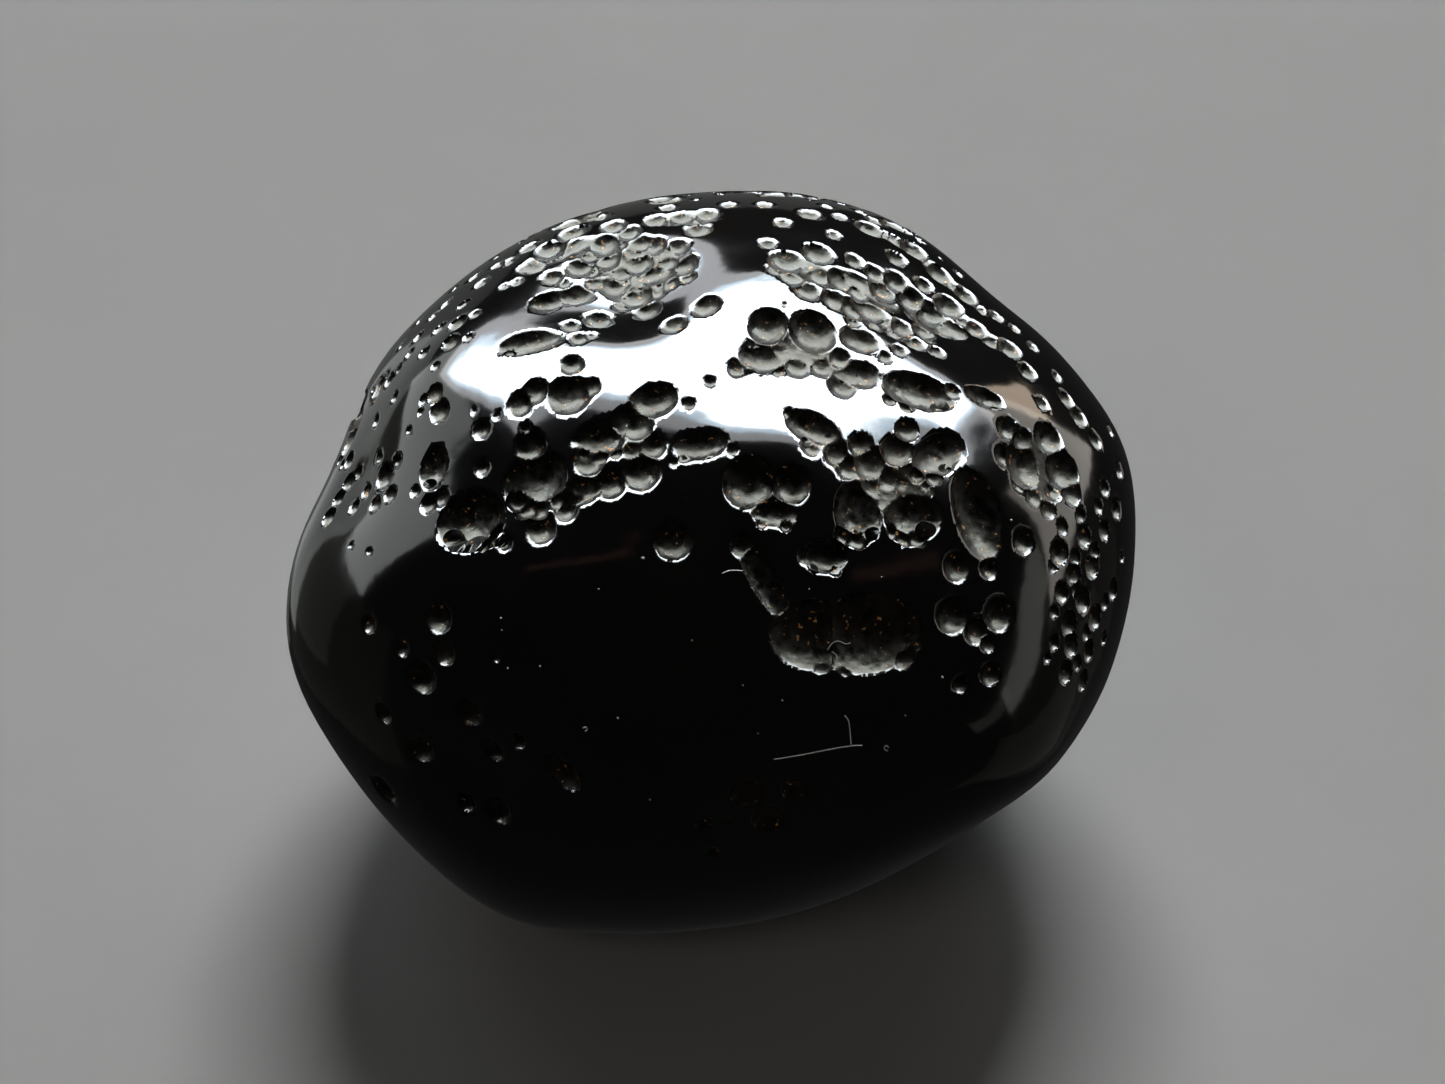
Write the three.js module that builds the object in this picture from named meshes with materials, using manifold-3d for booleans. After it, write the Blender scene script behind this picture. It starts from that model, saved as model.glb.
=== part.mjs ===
// A tumbled tektite: one pebble of natural black glass, polished all over, with clusters
// of round bubble pits in its skin and smooth lands between them.
// Millimetres, +Z up. It rests on a small flat at z = 0, with the middle of its box over
// the origin. Its face, the side that leans back and shows best, looks towards -Y and up.

import * as THREE from 'three';
import { mergeVertices } from 'three/addons/utils/BufferGeometryUtils.js';
import Module from 'manifold-3d';

const wasm = await Module();
wasm.setup();

// Driving dimensions
const width = 28; // along X
const depth = 25.5; // along Y
const height = 23.6; // along Z, from the resting flat to the crown
const underCut = 0.75; // how far up the rounded underside the resting flat lies
const pitRise = 0.45; // a bubble's centre stands above the skin by this share of its depth axis
const pitWiden = 1.15; // a bubble's size against the size of its mouth
const formDetail = 7; // how finely the smooth form is faceted
const pitSides = 7; // flats round a pit
const smallestPit = 0.55; // the smallest pit of a cluster against its largest
const clusterTurn = 0.9; // how far a pit of a cluster may turn from its even place, radians
const weldDistance = 1e-4; // corners this close are one corner

// Half section of a pit's hollow, from its floor to a point far above the skin, for a bubble
// of radius 1: [distance from the axis, height above the centre].
const pitSection = [[0, -1], [0.64, -0.78], [0.94, -0.34], [0, 6]];

// The face: a plane through the middle of the stone. Places on it are [right, up] in
// millimetres, carried to the skin along lines that meet at a point well in front of it.
const faceLean = THREE.MathUtils.degToRad(40);
const right = new THREE.Vector3(1, 0, 0);
const up = new THREE.Vector3(0, Math.sin(faceLean), Math.cos(faceLean));
const outward = new THREE.Vector3(0, -Math.cos(faceLean), Math.sin(faceLean));
const layoutDistance = 140;
const layoutPoint = outward.clone().multiplyScalar(layoutDistance);
const walkStart = 0.89; // share of the way from that point to the face where its skin may begin
const walkEnd = 1.02; // and where it surely has begun
const walkSteps = 220;

// Distance from the middle to the outline of the face, every 15 degrees anticlockwise from
// the right.
const outlineRadii = [
  13.9, 14.2, 13.4, 12.6, 12.8, 12.6, 12.3, 12.4, 12.6, 12.7, 13.0, 12.9,
  13.9, 14.1, 13.9, 13.7, 13.7, 12.6, 12.0, 11.8, 11.8, 12.1, 13.1, 13.6,
];
const outlineBlend = THREE.MathUtils.degToRad(11); // how far each radius reaches round

// Swells and hollows of the face: [right, up, spread, height]. A hollow's height is negative.
const faceSwells = [
  [-12.6, -2.4, 3.2, 0.45], // lobe low on the left
  [-11.6, 2.4, 1.6, -0.2], // valley between the lobe and the shoulder
  [-8.9, 6.3, 2.6, 0.35], // left shoulder
  [-7.8, 8.0, 1.7, 0.14],
  [-5.2, 6.5, 2.8, 0.42], // brow
  [-3.0, 9.0, 2.4, -0.8], // dip behind its left half
  [-4.0, 9.8, 2.6, -0.2], // fall behind it
  [1.8, 8.8, 2.0, 0.35], // branch that climbs from its middle
  [6.5, 8.8, 2.6, -0.5], // fall behind its right end
  [1.8, 3.6, 2.0, 0.35],
  [7.0, 5.6, 2.2, 0.35],
  [9.0, -6.0, 3.6, 0.9], // ridge down the right side
  [-3.0, -4.0, 5.0, -0.35], // broad hollow low on the face
  [-7.4, -6.4, 2.2, -0.4],
  [5.0, -9.2, 3.2, 0.3], // toe
];

// Swells and hollows of the other sides: [azimuth, elevation, spread, height]. Azimuth 0
// faces -Y, 90 faces +X.
const farSwells = [
  [150, 10, 5.0, 0.4],
  [205, 25, 4.5, -0.5],
  [235, -10, 5.0, 0.4],
  [100, -20, 4.0, -0.4],
  [180, -35, 4.5, 0.35],
  [60, -50, 4.0, -0.3],
];

// Single bubbles of the face: [right, up, mouth radius], by region.
const bubbles = [
  // left shoulder and left of the brow
  [-11.0, 2.9, 0.5], [-6.15, 3.85, 0.56], [-2.65, 4.65, 0.58], [-4.2, 3.4, 0.52],
  [-5.8, 1.2, 0.52], [-3.5, 2.7, 0.54], [-2.5, 3.05, 0.64], [-1.45, 0.75, 0.62],
  [-0.4, 8.55, 0.5], [-6.2, 5.5, 0.55],
  // right of the brow
  [1.05, 2.65, 0.86], [2.5, 2.6, 0.66], [5.1, 3.3, 0.6],
  [5.95, 3.75, 0.55], [1.7, 7.85, 0.68], [3.25, 7.7, 0.82], [2.7, 6.6, 0.5],
  [4.2, 5.95, 0.52], [4.9, 6.25, 0.5],
  // right of the face
  [8.0, -0.1, 0.5], [7.85, -1.7, 0.62], [9.35, -1.65, 0.57],
  // right side
  [9.7, 4.5, 0.48], [10.35, 3.3, 0.9], [11.0, 4.2, 0.64], [11.5, 3.1, 0.78],
  [11.8, 2.35, 0.5], [10.6, 2.3, 0.5], [12.0, 4.9, 0.47],
  // upper right
  [2.35, 10.1, 0.66], [3.4, 10.3, 0.6], [4.25, 9.4, 0.62], [5.2, 8.5, 0.66],
  [6.5, 8.75, 0.6], [7.1, 8.3, 0.6], [7.6, 7.85, 0.5], [9.7, 7.15, 0.5],
  [5.1, 11.1, 0.6], [6.6, 10.4, 0.6], [7.4, 9.6, 0.6],
  // upper left
  [-5.5, 10.45, 0.62], [-4.75, 11.0, 0.6], [-3.7, 10.6, 0.62], [-8.6, 8.0, 0.4],
  // low on the face
  [-9.2, -1.8, 0.5], [-9.8, -3.8, 0.6], [-8.2, -5.0, 0.5], [-9.8, -6.2, 0.5],
  [-7.3, -8.2, 0.5], [-11.0, -7.6, 0.6], [1.0, -7.6, 0.55], [1.75, -8.5, 0.55],
];

// Bowls of the face: [right, up, half length, half width, depth axis, turn in degrees].
const bowls = [
  [-9.35, 3.2, 0.74, 0.6, 0.6, 80],
  [-8.05, 1.5, 1.3, 1.02, 0.9, 0], // wide bowl on the left shoulder
  [-6.0, 2.75, 1.16, 0.94, 0.82, 18],
  [-4.85, 5.6, 0.78, 0.68, 0.66, 0],
  [-3.75, 4.15, 0.84, 0.64, 0.64, 10],
  [-2.0, 5.45, 0.76, 0.6, 0.62, 22],
  [-0.6, 3.95, 0.86, 0.5, 0.54, 5],
  [-5.92, 7.46, 1.34, 0.54, 0.56, -3],
  [-4.5, 8.9, 0.72, 0.48, 0.5, 0],
  [-2.2, 9.65, 0.9, 0.6, 0.62, -5],
  [1.5, 6.85, 0.8, 0.62, 0.62, -10],
  [4.8, 7.45, 0.72, 0.55, 0.55, 0],
  [6.5, 5.8, 1.38, 0.7, 0.7, -5],
  [8.9, 5.55, 0.86, 0.42, 0.46, 5],
  [3.25, 4.5, 0.96, 0.52, 0.56, -20],
  [7.3, 3.6, 1.06, 0.66, 0.66, 30],
  [4.7, 1.75, 1.1, 0.8, 0.8, 90],
  [6.5, 1.62, 1.04, 0.84, 0.8, 0],
  [1.9, 1.7, 0.78, 0.48, 0.52, -5],
  [3.6, 0.25, 0.78, 0.56, 0.58, 0],
  [4.65, -2.4, 2.15, 1.3, 1.0, 0], // crater
  [2.6, -2.5, 0.85, 0.85, 0.62, 0], // bay at its left end
  [1.55, -0.45, 1.85, 0.46, 0.46, -60], // groove that runs down into it
  [8.65, 1.7, 1.6, 0.9, 0.85, 112], // smooth hollow right of the brow
  [-5.1, -6.9, 0.75, 0.4, 0.45, -52],
];

// Troughs, given the same way, that join the bubbles of a group.
const troughs = [
  [5.6, 2.6, 1.5, 1.0, 0.6, 0],
  [10.7, 3.3, 1.45, 1.25, 0.7, 65],
  [12.0, -1.6, 2.4, 0.6, 0.45, 95],
  [-3.0, 4.7, 1.4, 0.45, 0.46, 35],
  [-4.1, 2.2, 2.0, 0.42, 0.44, 30],
  [2.7, 7.0, 1.5, 0.75, 0.6, -8],
  [3.4, 9.7, 1.5, 0.75, 0.5, -25],
  [5.3, 8.9, 1.5, 0.6, 0.5, -12],
  [-5.0, 8.8, 1.0, 0.42, 0.42, 5],
  [-2.7, 8.9, 0.9, 0.5, 0.45, -30],
  [-4.9, 10.4, 1.5, 0.65, 0.5, 8],
  [-1.0, 11.4, 1.2, 0.42, 0.4, -3],
  [-9.5, -3.2, 1.5, 0.6, 0.4, 110],
];

// Clusters of pits on the other sides: [azimuth, elevation, half length, half width, turn in
// degrees, how many, largest radius].
const farClusters = [
  [150, 48, 5.0, 2.4, 20, 12, 0.85],
  [205, 52, 4.6, 2.2, -25, 10, 0.8],
  [118, 18, 3.0, 2.2, 70, 9, 0.85],
  [165, 8, 4.0, 1.9, -15, 10, 0.9],
  [212, 6, 2.8, 2.0, 40, 8, 0.8],
  [262, 20, 3.0, 1.8, 80, 7, 0.8],
  [245, -28, 2.8, 1.8, 10, 6, 0.75],
  [135, -30, 3.2, 1.8, -30, 6, 0.8],
  [188, -38, 2.6, 1.6, 15, 5, 0.75],
];
const goldenTurn = Math.PI * (3 - Math.sqrt(5)); // between one pit of a cluster and the next

const half = new THREE.Vector3(width / 2, depth / 2, (height + underCut) / 2);
const meanRadius = (half.x + half.y + half.z) / 3;

// Direction of a compass place: azimuth 0 faces -Y, 90 faces +X.
function compass(azimuth, elevation) {
  const turn = THREE.MathUtils.degToRad(azimuth);
  const rise = THREE.MathUtils.degToRad(elevation);
  const level = Math.cos(rise);
  return new THREE.Vector3(Math.sin(turn) * level, -Math.cos(turn) * level, Math.sin(rise));
}

// Radius of the plain egg that the stone departs from.
function eggRadius(direction) {
  return 1 / Math.hypot(direction.x / half.x, direction.y / half.y, direction.z / half.z);
}

// Radius of the face's outline at a turn round it, blended smoothly between its points.
function outlineRadius(turn) {
  let sum = 0;
  let weights = 0;
  outlineRadii.forEach((radius, index) => {
    const offset = turn - (index * 2 * Math.PI) / outlineRadii.length;
    const away = Math.atan2(Math.sin(offset), Math.cos(offset));
    const weight = Math.exp(-((away / outlineBlend) ** 2));
    sum += weight * radius;
    weights += weight;
  });
  return sum / weights;
}

// A swell: its direction from the middle, its spread and its height.
const swells = [
  ...faceSwells.map(([x, y, spread, rise]) => {
    const level = Math.max(0.05, 1 - (x * x + y * y) / meanRadius ** 2);
    const place = right.clone().multiplyScalar(x).addScaledVector(up, y);
    place.addScaledVector(outward, meanRadius * Math.sqrt(level));
    return { direction: place.normalize(), spread, rise };
  }),
  ...farSwells.map(([azimuth, elevation, spread, rise]) => {
    return { direction: compass(azimuth, elevation), spread, rise };
  }),
];

// Radius of the stone in a direction from its middle, before it is fitted to its box.
function formRadius(direction) {
  const across = direction.dot(right);
  const along = direction.dot(up);
  const turn = Math.atan2(along, across);
  const rim = right.clone().multiplyScalar(Math.cos(turn)).addScaledVector(up, Math.sin(turn));
  const sideways = across ** 2 + along ** 2;
  const stretch = 1 + sideways * (outlineRadius(turn) / eggRadius(rim) - 1);
  let radius = eggRadius(direction) * stretch;
  for (const swell of swells) {
    const away = direction.distanceTo(swell.direction) * meanRadius;
    radius += swell.rise * Math.exp(-((away / swell.spread) ** 2));
  }
  return radius;
}

// The smooth stone: an icosphere drawn out to the form.
function makeForm() {
  const geometry = new THREE.IcosahedronGeometry(1, formDetail);
  const position = geometry.attributes.position;
  const point = new THREE.Vector3();
  for (let i = 0; i < position.count; i++) {
    point.fromBufferAttribute(position, i).normalize();
    point.multiplyScalar(formRadius(point));
    position.setXYZ(i, point.x, point.y, point.z);
  }
  return geometry;
}

const form = makeForm();
form.computeBoundingBox();
const rough = form.boundingBox;
const fit = new THREE.Vector3(width, depth, height + underCut).divide(
  rough.getSize(new THREE.Vector3()),
);
const middle = rough.getCenter(new THREE.Vector3());

// Carries a place on the rough form to its place on the stone.
function toStone(place) {
  const moved = place.clone().sub(middle).multiply(fit);
  moved.z += height - half.z;
  return moved;
}

// The skin's place in a direction from the middle of the rough form.
function onSkin(direction) {
  return direction.clone().multiplyScalar(formRadius(direction));
}

// The skin's place behind a place of the face.
function behindFace(x, y) {
  const target = right.clone().multiplyScalar(x).addScaledVector(up, y);
  let nearest = target;
  let least = Infinity;
  for (let step = 0; step <= walkSteps && least > 0; step++) {
    const share = walkStart + ((walkEnd - walkStart) * step) / walkSteps;
    const point = layoutPoint.clone().lerp(target, share);
    const clearance = point.length() - formRadius(point.clone().normalize());
    if (clearance < least) {
      least = clearance;
      nearest = point;
    }
  }
  return onSkin(nearest.normalize());
}

// A solid for cutting and joining, from a closed geometry.
function solidOf(geometry) {
  const plain = geometry.clone();
  plain.deleteAttribute('normal');
  plain.deleteAttribute('uv');
  const merged = mergeVertices(plain, weldDistance);
  const corners = merged.index.array;
  const triVerts = [];
  for (let i = 0; i < corners.length; i += 3) {
    const [a, b, c] = corners.slice(i, i + 3);
    if (a !== b && b !== c && c !== a) triVerts.push(a, b, c); // no folded faces at the poles
  }
  return new wasm.Manifold(
    new wasm.Mesh({
      numProp: 3,
      vertProperties: Float32Array.from(merged.attributes.position.array),
      triVerts: Uint32Array.from(triVerts),
    }),
  );
}

// The hollow of one pit: a bubble that may be stretched along the skin.
function makePit(place, length, breadth, depthAxis, lengthwise) {
  const out = place.clone().normalize();
  const along = lengthwise.clone().addScaledVector(out, -lengthwise.dot(out)).normalize();
  const across = along.clone().cross(out);
  const section = pitSection.map(([reach, rise]) => new THREE.Vector2(reach, rise));
  const bowl = new THREE.LatheGeometry(section, pitSides);
  bowl.scale(length * pitWiden, depthAxis * pitWiden, breadth * pitWiden);
  bowl.applyMatrix4(new THREE.Matrix4().makeBasis(along, out, across));
  const centre = toStone(place).addScaledVector(out, pitRise * pitWiden * depthAxis);
  bowl.translate(centre.x, centre.y, centre.z);
  return solidOf(bowl);
}

// A number from 0 to 1 that looks random and is always the same for the same seed.
function scatter(seed) {
  const value = Math.sin(seed * 12.9898) * 43758.5453;
  return value - Math.floor(value);
}

// The pits of one cluster, spread evenly over an ellipse of the skin and then unsettled.
function makeCluster([azimuth, elevation, length, breadth, turn, count, largest], seed) {
  const out = compass(azimuth, elevation);
  const east = new THREE.Vector3(0, 0, 1).cross(out).normalize();
  const north = out.clone().cross(east);
  const lean = THREE.MathUtils.degToRad(turn);
  const pits = [];
  for (let i = 0; i < count; i++) {
    const key = seed * 100 + i;
    const reach = Math.sqrt((i + 0.5) / count);
    const angle = i * goldenTurn + clusterTurn * scatter(key);
    const a = length * reach * Math.cos(angle);
    const b = breadth * reach * Math.sin(angle);
    const direction = out.clone().multiplyScalar(meanRadius);
    direction.addScaledVector(east, a * Math.cos(lean) - b * Math.sin(lean));
    direction.addScaledVector(north, a * Math.sin(lean) + b * Math.cos(lean));
    const radius = largest * (smallestPit + (1 - smallestPit) * scatter(key + 0.5));
    pits.push(makePit(onSkin(direction.normalize()), radius, radius, radius, east));
  }
  return pits;
}

// Everything under the resting flat.
function makeGround() {
  const ground = new THREE.BoxGeometry(2 * width, 2 * depth, height);
  ground.translate(0, 0, -height / 2);
  return solidOf(ground);
}

function makeTektite() {
  const position = form.attributes.position;
  const point = new THREE.Vector3();
  for (let i = 0; i < position.count; i++) {
    const placed = toStone(point.fromBufferAttribute(position, i));
    position.setXYZ(i, placed.x, placed.y, placed.z);
  }
  let stone = solidOf(form);
  for (const [x, y, radius] of bubbles) {
    stone = stone.subtract(makePit(behindFace(x, y), radius, radius, radius, right));
  }
  for (const [x, y, length, breadth, depthAxis, turn] of [...troughs, ...bowls]) {
    const lean = THREE.MathUtils.degToRad(turn);
    const lengthwise = right.clone().multiplyScalar(Math.cos(lean));
    lengthwise.addScaledVector(up, Math.sin(lean));
    stone = stone.subtract(makePit(behindFace(x, y), length, breadth, depthAxis, lengthwise));
  }
  farClusters.forEach((cluster, index) => {
    for (const pit of makeCluster(cluster, index + 1)) stone = stone.subtract(pit);
  });
  return stone.subtract(makeGround());
}

// The finished solid as a three.js geometry.
function geometryOf(solid) {
  const mesh = solid.getMesh();
  const geometry = new THREE.BufferGeometry();
  geometry.setAttribute('position', new THREE.BufferAttribute(mesh.vertProperties, 3));
  geometry.setIndex(new THREE.BufferAttribute(mesh.triVerts, 1));
  geometry.computeVertexNormals();
  return geometry;
}

const blackGlass = new THREE.MeshStandardMaterial({
  color: 0x0a0908,
  roughness: 0.06,
  metalness: 0,
  flatShading: true,
});

const tektite = new THREE.Mesh(geometryOf(makeTektite()), blackGlass);
tektite.name = 'tektite';

const group = new THREE.Group();
group.add(tektite);

export default group;
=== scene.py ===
import math
import bmesh
import bpy
import numpy as np
from mathutils import Matrix, Vector, kdtree
from mathutils.bvhtree import BVHTree


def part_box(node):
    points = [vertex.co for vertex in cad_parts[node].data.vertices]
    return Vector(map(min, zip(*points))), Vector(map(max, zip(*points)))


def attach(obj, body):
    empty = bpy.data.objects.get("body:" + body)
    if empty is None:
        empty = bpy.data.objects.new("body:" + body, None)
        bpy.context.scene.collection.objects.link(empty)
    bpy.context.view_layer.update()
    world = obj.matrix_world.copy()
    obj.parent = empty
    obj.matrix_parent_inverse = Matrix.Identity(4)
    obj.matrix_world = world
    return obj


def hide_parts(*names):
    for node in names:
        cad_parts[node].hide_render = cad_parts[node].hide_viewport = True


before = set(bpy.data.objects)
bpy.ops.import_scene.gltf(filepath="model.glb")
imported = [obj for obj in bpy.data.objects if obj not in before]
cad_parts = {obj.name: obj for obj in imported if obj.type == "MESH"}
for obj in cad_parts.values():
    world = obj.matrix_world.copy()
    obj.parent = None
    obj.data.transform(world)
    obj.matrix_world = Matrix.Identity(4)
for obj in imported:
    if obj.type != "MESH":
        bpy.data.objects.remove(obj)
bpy.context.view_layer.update()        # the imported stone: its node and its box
mm = 0.001               # the stone is worked out in millimetres and placed in metres
lowCorner, highCorner = (np.array(corner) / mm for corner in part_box("tektite"))


# The smooth form under the pits. The face is a plane through the middle of the stone that leans
# back by faceLean degrees; places on it are [right, up], carried to the skin along lines that meet
# at a point layoutDistance in front of it. The outline is the face's radius every 15 degrees, from
# its right over the top. Swells are [right, up, spread, height] on the face, and [azimuth,
# elevation, spread, height] on the other sides, where azimuth 0 faces -Y and 90 faces +X.
stoneForm = {
    "faceLean": 40,
    "layoutDistance": 140,
    "underCut": 0.75,        # how far up the rounded underside the resting flat lies
    "restFillet": 0.5,       # how softly the underside turns into that flat
    "outline": [13.9, 14.2, 13.4, 12.6, 12.8, 12.6, 12.3, 12.4, 12.6, 12.7, 13.0, 12.9,
                13.9, 14.1, 13.9, 13.7, 13.7, 12.6, 12.0, 11.8, 11.8, 12.1, 13.1, 13.6],
    "outlineBlend": 11,      # degrees over which neighbouring points blend
    "outlineSteps": 1441,    # how finely the blended outline is tabled
    "faceSwells": [
        [-12.6, -2.4, 3.2, 0.45],    # lobe low on the left
        [-11.6, 2.4, 1.6, -0.2],     # valley between the lobe and the shoulder
        [-8.9, 6.3, 2.6, 0.35],      # left shoulder
        [-7.8, 8.0, 1.7, 0.14],
        [-5.2, 6.5, 2.8, 0.42],      # brow
        [-3.0, 9.0, 2.4, -0.8],      # dip behind its left half
        [-4.0, 9.8, 2.6, -0.2],      # fall behind the dip
        [1.8, 8.8, 2.0, 0.35],       # branch that climbs from its middle
        [6.5, 8.8, 2.6, -0.5],       # fall behind its right end
        [1.8, 3.6, 2.0, 0.35],
        [7.0, 5.6, 2.2, 0.35],
        [9.0, -6.0, 3.6, 0.9],       # ridge down the right side
        [-3.0, -4.0, 5.0, -0.35],    # broad hollow low on the face
        [-7.4, -6.4, 2.2, -0.4],
        [5.0, -9.2, 3.2, 0.3],       # toe
    ],
    "farSwells": [
        [150, 10, 5.0, 0.4], [205, 25, 4.5, -0.5], [235, -10, 5.0, 0.4],
        [100, -20, 4.0, -0.4], [180, -35, 4.5, 0.35], [60, -50, 4.0, -0.3],
    ],
    "leastLevel": 0.05,      # keeps a swell at the face's edge from falling off it
    "measureCuts": 5,        # how fine a ball the form is measured with
    "skinSearch": [0.89, 1.02],      # where the skin is looked for, as shares of the line
    "skinSearchSteps": 221,          # from the layout point to the face's plane
}

lean = math.radians(stoneForm["faceLean"])
faceRight = np.array([1.0, 0.0, 0.0])
faceUp = np.array([0.0, math.sin(lean), math.cos(lean)])
faceOut = np.array([0.0, -math.cos(lean), math.sin(lean)])
boxSize = highCorner - lowCorner
halfSize = (boxSize + [0, 0, stoneForm["underCut"]]) / 2
meanRadius = halfSize.mean()


def unit(vectors):
    return vectors / np.linalg.norm(vectors, axis=-1, keepdims=True)


def compass(azimuth, elevation):
    turn, rise = math.radians(azimuth), math.radians(elevation)
    level = math.cos(rise)
    return np.array([math.sin(turn) * level, -math.cos(turn) * level, math.sin(rise)])


def eggRadius(directions):
    return 1 / np.linalg.norm(directions / halfSize, axis=-1)


def outlineTable():
    # the outline's points, blended smoothly round the face
    radii = np.array(stoneForm["outline"])
    turns = np.linspace(-math.pi, math.pi, stoneForm["outlineSteps"])
    places = np.arange(len(radii)) * 2 * math.pi / len(radii)
    offset = turns[:, None] - places
    away = np.arctan2(np.sin(offset), np.cos(offset))
    weights = np.exp(-(away / math.radians(stoneForm["outlineBlend"])) ** 2)
    return turns, (weights * radii).sum(-1) / weights.sum(-1)


outlineTurns, outlineRadii = outlineTable()


def collectSwells():
    swells = []
    for x, y, spread, height in stoneForm["faceSwells"]:
        level = max(stoneForm["leastLevel"], 1 - (x * x + y * y) / meanRadius ** 2)
        place = faceRight * x + faceUp * y + faceOut * meanRadius * math.sqrt(level)
        swells.append((unit(place), spread, height))
    for azimuth, elevation, spread, height in stoneForm["farSwells"]:
        swells.append((compass(azimuth, elevation), spread, height))
    return swells


swells = collectSwells()


def formRadius(directions):
    across, along = directions @ faceRight, directions @ faceUp
    turns = np.arctan2(along, across)
    rims = np.cos(turns)[..., None] * faceRight + np.sin(turns)[..., None] * faceUp
    sideways = across ** 2 + along ** 2
    rimRadius = np.interp(turns, outlineTurns, outlineRadii)
    radius = eggRadius(directions) * (1 + sideways * (rimRadius / eggRadius(rims) - 1))
    for place, spread, height in swells:
        away = np.linalg.norm(directions - place, axis=-1) * meanRadius
        radius = radius + height * np.exp(-(away / spread) ** 2)
    return radius


def icosphere(subdivisions):
    ball = bmesh.new()
    bmesh.ops.create_icosphere(ball, subdivisions=subdivisions, radius=1)
    return ball


def vertexPlaces(shape):
    return np.array([vertex.co for vertex in shape.verts], dtype=float)


def moveVertices(shape, places):
    for vertex, place in zip(shape.verts, places):
        vertex.co = place


def measureForm():
    # the rough form's box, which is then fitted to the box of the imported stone
    ball = icosphere(stoneForm["measureCuts"])
    directions = unit(vertexPlaces(ball))
    ball.free()
    rough = directions * formRadius(directions)[:, None]
    return rough.min(0), rough.max(0)


roughLow, roughHigh = measureForm()
fit = 2 * halfSize / (roughHigh - roughLow)
roughMiddle = (roughLow + roughHigh) / 2
stoneMiddle = (lowCorner + highCorner) / 2
stoneMiddle[2] = highCorner[2] - halfSize[2]


def toStone(places):
    return (places - roughMiddle) * fit + stoneMiddle


def toRough(places):
    return (places - stoneMiddle) / fit + roughMiddle


def formDistance(places):
    rough = toRough(places)
    reach = np.linalg.norm(rough, axis=-1)
    return reach - formRadius(rough / reach[..., None])


def skinBehind(x, y):
    # the rough form's skin behind a place of the face
    eye = faceOut * stoneForm["layoutDistance"]
    target = faceRight * x + faceUp * y
    shares = np.linspace(*stoneForm["skinSearch"], stoneForm["skinSearchSteps"])[:, None]
    line = eye + (target - eye) * shares
    reach = np.linalg.norm(line, axis=1)
    clearance = reach - formRadius(line / reach[:, None])
    below = np.nonzero(clearance <= 0)[0]
    nearest = below[0] if len(below) else clearance.argmin()
    direction = line[nearest] / reach[nearest]
    return direction * formRadius(direction[None])[0]


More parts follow.
